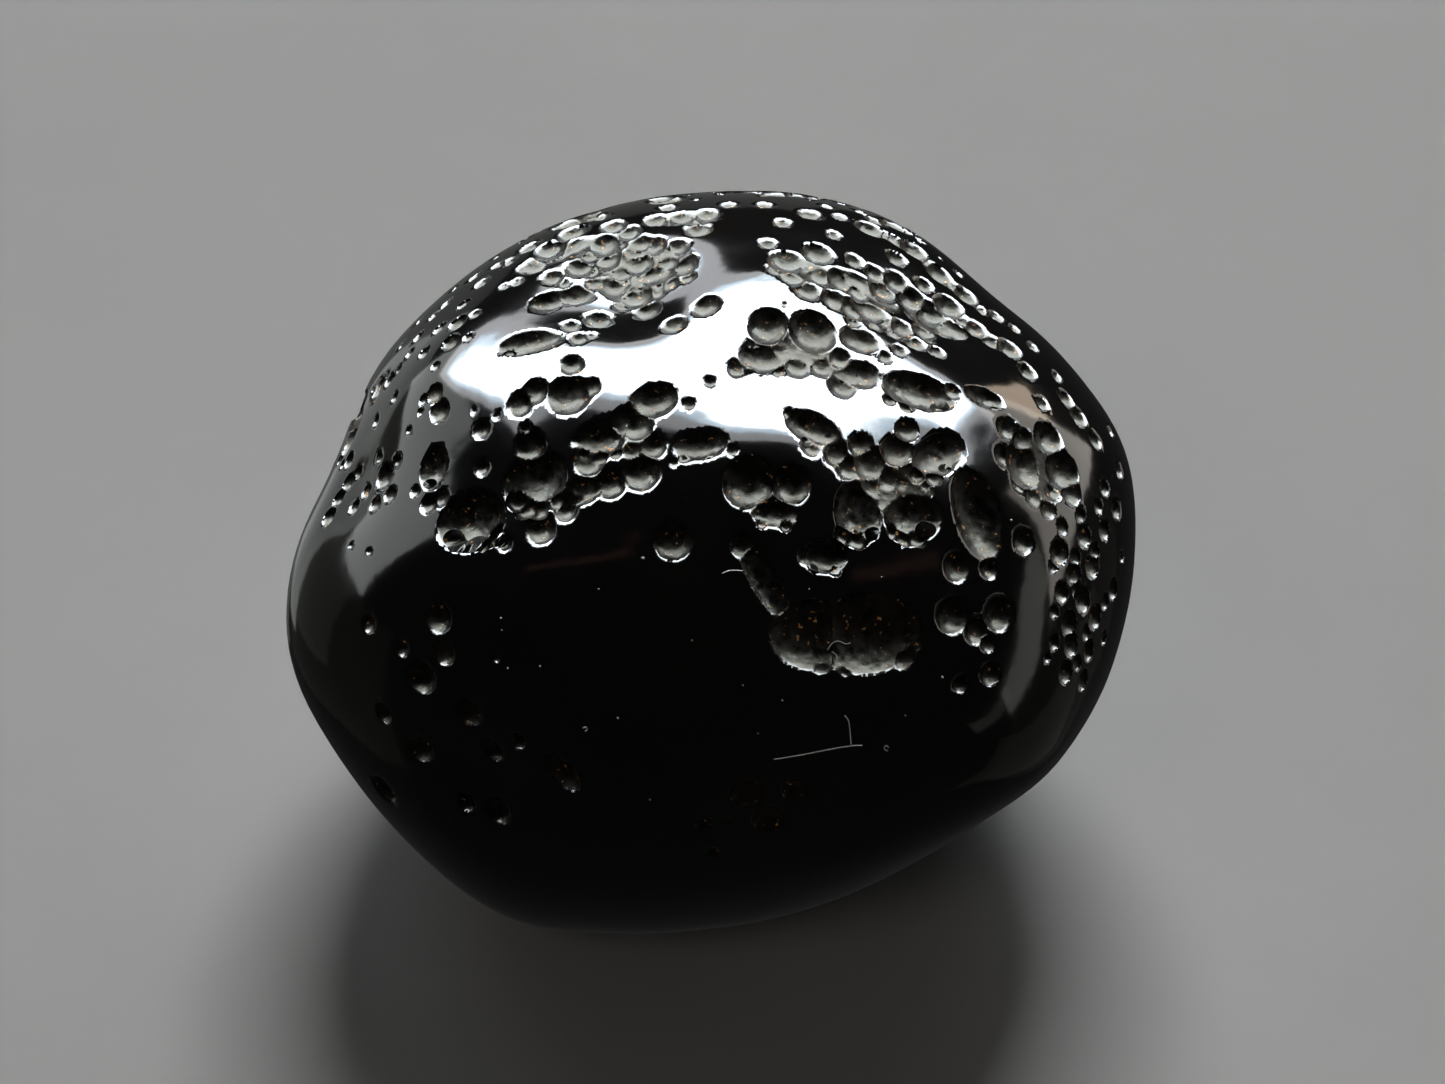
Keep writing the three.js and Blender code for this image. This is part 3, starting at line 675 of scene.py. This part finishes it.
# Dust on the face, each speck as [right, up, radius].
dustSpecks = {
    "places": [
        [-2.43, 0.13, 0.05], [-7.15, -1.86, 0.04], [-7.12, -2.26, 0.03], [-6.92, -3.53, 0.04],
        [-5.85, -3.46, 0.035], [-3.26, -5.19, 0.04], [7.52, -3.82, 0.04], [9.81, 1.40, 0.035],
        [7.35, 2.56, 0.03], [-1.30, 0.62, 0.03], [0.90, -4.10, 0.025], [-3.90, -0.90, 0.025],
        [2.20, -4.60, 0.03], [6.30, -5.10, 0.025], [-5.10, -7.30, 0.03], [3.10, -0.90, 0.02],
        [-0.80, -2.60, 0.02], [5.50, -0.50, 0.025], [-2.20, -7.90, 0.025], [1.40, -5.70, 0.02],
    ],
    "sizes": [0.7, 0.6],     # how uneven a speck is: the least share, and what chance adds
    "lift": 0.3,             # how far its middle stands above the glass, in radii
    "tones": [[0.85, 0.83, 0.8, 1], [0.5, 0.45, 0.38, 1]],
    "toneNoise": [2500, 2],
    "roughness": 0.8,
    "sheen": 0,
}


def onGlass(skinTree, x, y, lift):
    # the place on the pitted skin that lies behind a place of the face
    middle = toStone(np.zeros(3))
    eye = middle + faceOut * stoneForm["layoutDistance"]
    target = middle + faceRight * x + faceUp * y
    hit, normal, _, _ = skinTree.ray_cast(Vector(eye), Vector(target - eye).normalized())
    return hit + normal * lift


def roundedPath(points):
    # corner cutting turns a few points into a soft curve
    for _ in range(lintThreads["softenings"]):
        softer = [points[0]]
        for first, second in zip(points, points[1:]):
            softer += [first.lerp(second, 0.25), first.lerp(second, 0.75)]
        points = softer + [points[-1]]
    return points


def drawThread(lint, path):
    made = bmesh.ops.create_circle(lint, cap_ends=True, radius=lintThreads["radius"],
                                   segments=lintThreads["sides"])
    ring = made["verts"]
    end = ring[0].link_faces[0]
    heading = Vector((0, 0, 1))
    place = Vector((0, 0, 0))
    for index, point in enumerate(path):
        if index:
            grown = bmesh.ops.extrude_face_region(lint, geom=[end])["geom"]
            if index > 1:        # the first end stays as the cap, the others would lie inside
                bmesh.ops.delete(lint, geom=[end], context="FACES_ONLY")
            end = next(item for item in grown if isinstance(item, bmesh.types.BMFace))
            ring = [item for item in grown if isinstance(item, bmesh.types.BMVert)]
        ahead = path[min(index + 1, len(path) - 1)] - path[max(index - 1, 0)]
        ahead.normalize()
        turn = heading.rotation_difference(ahead).to_matrix()
        bmesh.ops.rotate(lint, verts=ring, cent=place, matrix=turn)
        bmesh.ops.translate(lint, verts=ring, vec=point - place)
        heading, place = ahead, point


def makeLint(skinTree):
    lint = bmesh.new()
    for points in lintThreads["paths"]:
        path = roundedPath([onGlass(skinTree, x, y, lintThreads["lift"]) for x, y in points])
        drawThread(lint, path)
    bmesh.ops.recalc_face_normals(lint, faces=lint.faces)
    return finishPiece(lint, "lint", paleDirt("paleLint", lintThreads))


def makeDust(skinTree):
    dust = bmesh.new()
    least, more = dustSpecks["sizes"]
    for index, (x, y, radius) in enumerate(dustSpecks["places"]):
        made = bmesh.ops.create_icosphere(dust, subdivisions=1, radius=radius)
        for corner, vertex in enumerate(made["verts"]):
            vertex.co *= least + more * scatter(index * 20 + corner)
        bmesh.ops.translate(dust, verts=made["verts"],
                            vec=onGlass(skinTree, x, y, dustSpecks["lift"] * radius))
    return finishPiece(dust, "dust", paleDirt("paleDust", dustSpecks))


class Wire:
    # an output socket, so that shader maths can be written as expressions
    def __init__(self, tree, socket):
        self.tree = tree
        self.socket = socket

    def maths(self, operation, first, second):
        return addNode(self.tree, "ShaderNodeMath", {"operation": operation},
                       {0: first, 1: second})

    def __add__(self, other):
        return self.maths("ADD", self, other)

    def __radd__(self, other):
        return self.maths("ADD", other, self)

    def __sub__(self, other):
        return self.maths("SUBTRACT", self, other)

    def __rsub__(self, other):
        return self.maths("SUBTRACT", other, self)

    def __mul__(self, other):
        return self.maths("MULTIPLY", self, other)

    def __rmul__(self, other):
        return self.maths("MULTIPLY", other, self)

    def above(self, start, rise):
        # a mask that leaves 0 at start, climbs this steeply and stays at 1
        return addNode(self.tree, "ShaderNodeClamp", {}, {"Value": (self - start) * rise})


def addNode(tree, kind, settings, values, output=0):
    node = tree.nodes.new(kind)
    for name, value in settings.items():
        setattr(node, name, value)
    for name, value in values.items():
        if isinstance(value, Wire):
            tree.links.new(value.socket, node.inputs[name])
        else:
            node.inputs[name].default_value = value
    return Wire(tree, node.outputs[output])


def mixColours(tree, share, first, second):
    # sockets 6 and 7 of a Mix node are its two colours, and output 2 is their mix
    return addNode(tree, "ShaderNodeMix", {"data_type": "RGBA"},
                   {0: share, 6: first, 7: second}, output=2)


def noise(tree, place, perMetre, detail, roughness=0.5, distortion=0.0):
    # 0 to 1, mostly near a half
    return addNode(tree, "ShaderNodeTexNoise", {},
                   {"Vector": place, "Scale": perMetre, "Detail": detail,
                    "Roughness": roughness, "Distortion": distortion})


def newMaterial(name):
    material = bpy.data.materials.new(name)
    material.use_nodes = True
    tree = material.node_tree
    place = addNode(tree, "ShaderNodeTexCoord", {}, {}, output=3)    # Object coordinates
    return material, tree, tree.nodes["Principled BSDF"].inputs, place


def feed(tree, socket, wire):
    tree.links.new(wire.socket, socket)


# The finish of the glass: almost black, glossy on the land, duller and browner in the pits, where
# scattered orange specks are painted glints that stand in for a warm lamp's reflections. A mask is
# [start, rise] of the noise that it is made from.
glassFinish = {
    "fullDepth": 0.11,               # millimetres under the smooth form where a pit counts as deep
    "index": 1.5,
    "land": [0.0035, 0.0033, 0.0032, 1],
    "brownCloud": [0.0085, 0.0060, 0.0045, 1],
    "cloudNoise": [240, 3, 0.55, 0.6],
    "cloudMask": [0.45, 3],
    "landRoughness": 0.09,
    "hazeNoise": [620, 4, 0.6, 0.4],
    "hazeMask": [0.5, 2.5],
    "hazeRoughness": 0.05,           # added where the land is hazy
    "residue": [0.026, 0.020, 0.015, 1],
    "grainNoise": [2600, 4, 0.6],
    "residueMix": [0.6, 0.9],        # how much cloud and how much grain decide where it lies
    "residueMask": [0.62, 1.7],
    "residueRoughness": 0.3,         # added where it lies
    # painted glint: an orange colour in the pits that stands in for a warm lamp's reflections
    "paintedGlint": [0.75, 0.36, 0.12, 1],
    "paintedGlintNoise": [5200, 2, 0.5],
    "paintedGlintMask": [0.675, 30],
    "pitRoughness": 0.32,            # added in a pit, times the grain
    "pitGloss": 0.115,               # the glass reflects less in a pit, where 0.5 is all of it
    "pitTint": [0.96, 0.93, 0.77, 1],
    "bumpStrength": 0.25,
    "bumpDistance": 0.00006,         # in metres
    "waveNoise": [700, 2, 0.4],
    "rippleNoise": [3800, 3, 0.6],
    "landRipple": 0.03,
    "pitRipple": 0.8,
    "dimplesPerMetre": 3400,
    "dimpleSmoothness": 0.4,
    "pitDimples": 1.25,
}


def glassBump(tree, place, pit):
    # long waves everywhere, fine ripples mostly in the pits, and round dimples only there
    waves = noise(tree, place, *glassFinish["waveNoise"])
    ripple = noise(tree, place, *glassFinish["rippleNoise"])
    dimples = addNode(tree, "ShaderNodeTexVoronoi", {"feature": "SMOOTH_F1"},
                      {"Vector": place, "Scale": glassFinish["dimplesPerMetre"],
                       "Smoothness": glassFinish["dimpleSmoothness"]})
    height = (waves + ripple * (glassFinish["landRipple"] + pit * glassFinish["pitRipple"])
              + dimples * pit * glassFinish["pitDimples"])
    return addNode(tree, "ShaderNodeBump", {},
                   {"Strength": glassFinish["bumpStrength"],
                    "Distance": glassFinish["bumpDistance"], "Height": height})


def blackGlass():
    material, tree, shader, place = newMaterial("blackGlass")
    # output 2 of an Attribute node is its plain number
    pit = addNode(tree, "ShaderNodeAttribute", {"attribute_name": "pitDepth"}, {}, output=2)
    bump = glassBump(tree, place, pit)
    cloud = noise(tree, place, *glassFinish["cloudNoise"])
    grain = noise(tree, place, *glassFinish["grainNoise"])
    paintedGlintSpots = noise(tree, place, *glassFinish["paintedGlintNoise"])
    haze = noise(tree, place, *glassFinish["hazeNoise"]).above(*glassFinish["hazeMask"])
    cloudShare, grainShare = glassFinish["residueMix"]
    residue = (cloud * cloudShare + grain * grainShare).above(*glassFinish["residueMask"]) * pit
    # painted glints: orange specks in the pits, in place of a warm lamp's reflections
    paintedGlints = paintedGlintSpots.above(*glassFinish["paintedGlintMask"]) * pit
    glass = mixColours(tree, cloud.above(*glassFinish["cloudMask"]), glassFinish["land"],
                       glassFinish["brownCloud"])
    soiled = mixColours(tree, residue, glass, glassFinish["residue"])

    feed(tree, shader["Base Color"], glass)
    feed(tree, shader["Roughness"],
         glassFinish["landRoughness"] + haze * glassFinish["hazeRoughness"])
    feed(tree, shader["Normal"], bump)
    shader["IOR"].default_value = glassFinish["index"]
    land = Wire(tree, tree.nodes["Principled BSDF"].outputs[0])
    pitWall = addNode(tree, "ShaderNodeBsdfPrincipled", {},
                      {"Base Color": mixColours(tree, paintedGlints, soiled, glassFinish["paintedGlint"]),
                       "Roughness": (glassFinish["landRoughness"]
                                     + grain * glassFinish["pitRoughness"]
                                     + residue * glassFinish["residueRoughness"]),
                       "Normal": bump, "IOR": glassFinish["index"],
                       "Specular IOR Level": glassFinish["pitGloss"],
                       "Specular Tint": glassFinish["pitTint"]})
    both = addNode(tree, "ShaderNodeMixShader", {}, {0: pit, 1: land, 2: pitWall})
    feed(tree, tree.nodes["Material Output"].inputs["Surface"], both)
    return material


def paleDirt(name, look):
    material, tree, shader, place = newMaterial(name)
    feed(tree, shader["Base Color"],
         mixColours(tree, noise(tree, place, *look["toneNoise"]), *look["tones"]))
    shader["Roughness"].default_value = look["roughness"]
    shader["Sheen Weight"].default_value = look["sheen"]
    return material


# The studio, in metres. What is reflected shows only in the glass, and is [azimuth, elevation,
# distance, width, height, turn in degrees, how bright it looks, colour]. All that isn't glossy is
# lit by softLights alone.
studio = {
    "floorSize": 3.0,
    "floorTones": [[0.50, 0.505, 0.50, 1], [0.60, 0.60, 0.595, 1]],
    "floorNoise": [35, 5, 0.65],
    "floorRoughness": 0.6,
    "softTarget": [0, 0, 0.01],
    "softLights": {
        "fromBehind": {"place": [0.05, 0.42, 0.62], "size": [0.35, 0.25], "watts": 3.5,
                       "colour": [1.0, 1.0, 1.0]},
        "fromFront": {"place": [-0.20, -0.45, 0.45], "size": [0.20, 0.20], "watts": 0.18,
                      "colour": [1.0, 0.92, 0.84]},
    },
    "dark": [0.02, 0.02, 0.02, 1],
    "reflected": {
        "window": [180, 62, 0.70, 1.90, 0.60, 0, 30.0, [0.97, 0.99, 1.0]],
        "windowEdge": [180, 62, 0.72, 2.08, 0.73, 0, 9.0, [0.55, 0.80, 1.0]],
        "windowFrame": [180, 62, 0.75, 2.40, 1.00, 0, 5.0, [0.95, 0.97, 1.0]],
        "leftWall": [243, 11, 0.70, 0.45, 0.38, 0, 1.8, [0.95, 1.0, 0.98]],
        "leftSheen": [216, -14, 0.70, 0.30, 0.46, 0, 0.42, [0.95, 1.0, 0.98]],
        "behindLeft": [190, -20, 0.80, 0.50, 0.60, 0, 0.10, [0.95, 1.0, 0.95]],
        "leftDim": [240, -16, 0.78, 0.46, 0.34, 0, 0.06, [0.95, 1.0, 0.85]],
        "leftDimmer": [252, -24, 0.80, 0.80, 0.56, 0, 0.025, [0.95, 1.0, 0.85]],
        "rightWall": [113, 7, 0.70, 0.50, 0.34, 0, 2.0, [1.0, 0.94, 0.86]],
        "rightGlow": [135, 13, 0.66, 0.10, 0.10, 0, 3.6, [1.0, 0.80, 0.62]],
        "rightStrip": [78, -2, 0.70, 0.36, 0.12, 17, 0.75, [0.97, 1.0, 0.9]],
        "rightStripTail": [56, -8, 0.70, 0.32, 0.06, 24, 0.2, [0.97, 1.0, 0.9]],
        "rightDim": [85, -38, 0.80, 0.80, 0.45, 0, 0.045, [1.0, 1.0, 0.85]],
        "rightDimmer": [95, -30, 0.82, 0.90, 0.80, 0, 0.02, [1.0, 1.0, 0.85]],
        "warmBeamLeft": [316, 38, 0.70, 0.27, 0.03, 32, 0.18, [1.0, 0.50, 0.40]],
        "warmBeamRight": [52, 29, 0.70, 0.30, 0.03, -22, 0.18, [1.0, 0.50, 0.40]],
    },
}


def addLight(name, place, target, size, turn, watts, colour):
    light = bpy.data.lights.new(name, "AREA")
    light.shape = "RECTANGLE"
    light.size, light.size_y = size
    light.energy = watts
    light.color = colour
    lamp = inScene(name, light)
    lamp.location = place
    aim = (Vector(target) - Vector(place)).to_track_quat("-Z", "Y").to_matrix()
    lamp.rotation_euler = (aim @ Matrix.Rotation(math.radians(turn), 3, "Z")).to_euler()
    return lamp


def lightStudio():
    for name, card in studio["reflected"].items():
        azimuth, elevation, away, width, height, turn, glow, colour = card
        watts = glow * math.pi * width * height
        lamp = addLight(name, compass(azimuth, elevation) * away, (0, 0, 0), (width, height),
                        turn, watts, colour)
        lamp.visible_diffuse = False
    for name, soft in studio["softLights"].items():
        lamp = addLight(name, soft["place"], studio["softTarget"], soft["size"], 0,
                        soft["watts"], soft["colour"])
        lamp.visible_glossy = False
    world = bpy.data.worlds.new("studio")
    world.use_nodes = True
    world.node_tree.nodes["Background"].inputs["Color"].default_value = studio["dark"]
    bpy.context.scene.world = world
    bpy.context.scene.view_settings.view_transform = "Standard"


def paleFloor():
    material, tree, shader, place = newMaterial("paleFloor")
    feed(tree, shader["Base Color"],
         mixColours(tree, noise(tree, place, *studio["floorNoise"]), *studio["floorTones"]))
    shader["Roughness"].default_value = studio["floorRoughness"]
    shader["Specular IOR Level"].default_value = 0
    return material


def makeFloor():
    shape = bmesh.new()
    bmesh.ops.create_grid(shape, x_segments=1, y_segments=1, size=studio["floorSize"] / 2)
    mesh = bpy.data.meshes.new("floor")
    shape.to_mesh(mesh)
    shape.free()
    mesh.materials.append(paleFloor())
    floor = inScene("floor", mesh)
    floor.visible_glossy = False         # so the glass stays black low down
    return floor


# The camera looks along the face's own line at the middle of the form.
cameraView = {
    "frame": [1445, 1084],           # width and height in pixels
    "scale": 30.07,                  # pixels to a millimetre at the middle of the form
    "middle": [716, 562],            # where that middle lies in the frame
    "sensor": 36,                    # millimetres across
    "nearest": 0.001,                # metres, nearer than which nothing is drawn
}


def addCamera():
    camera = bpy.data.cameras.new("camera")
    eye = inScene("camera", camera)
    away = stoneForm["layoutDistance"]
    eye.location = Vector(toStone(np.zeros(3)) + faceOut * away) * mm
    eye.rotation_euler = Vector(-faceOut).to_track_quat("-Z", "Y").to_euler()
    wide, high = cameraView["frame"]
    across, down = cameraView["middle"]
    widthAtStone = wide / cameraView["scale"]
    camera.sensor_width = cameraView["sensor"]
    camera.lens = cameraView["sensor"] * away / widthAtStone
    camera.shift_x = (wide / 2 - across) / wide
    camera.shift_y = (down - high / 2) / wide
    camera.clip_start = cameraView["nearest"]
    bpy.context.scene.camera = eye


addCamera()
lightStudio()
makeFloor()
print("studio: camera, lights and floor")

skin = makeStone()
skinTree = BVHTree.FromBMesh(skin)
stone = finishStone(skin)
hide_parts("tektite")
print("stone: %d faces, %d vertices" % (len(stone.data.polygons), len(stone.data.vertices)))

lint = makeLint(skinTree)
dust = makeDust(skinTree)
print("lint: %d faces, dust: %d faces" % (len(lint.data.polygons), len(dust.data.polygons)))

for piece in (stone, lint, dust):
    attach(piece, "root")
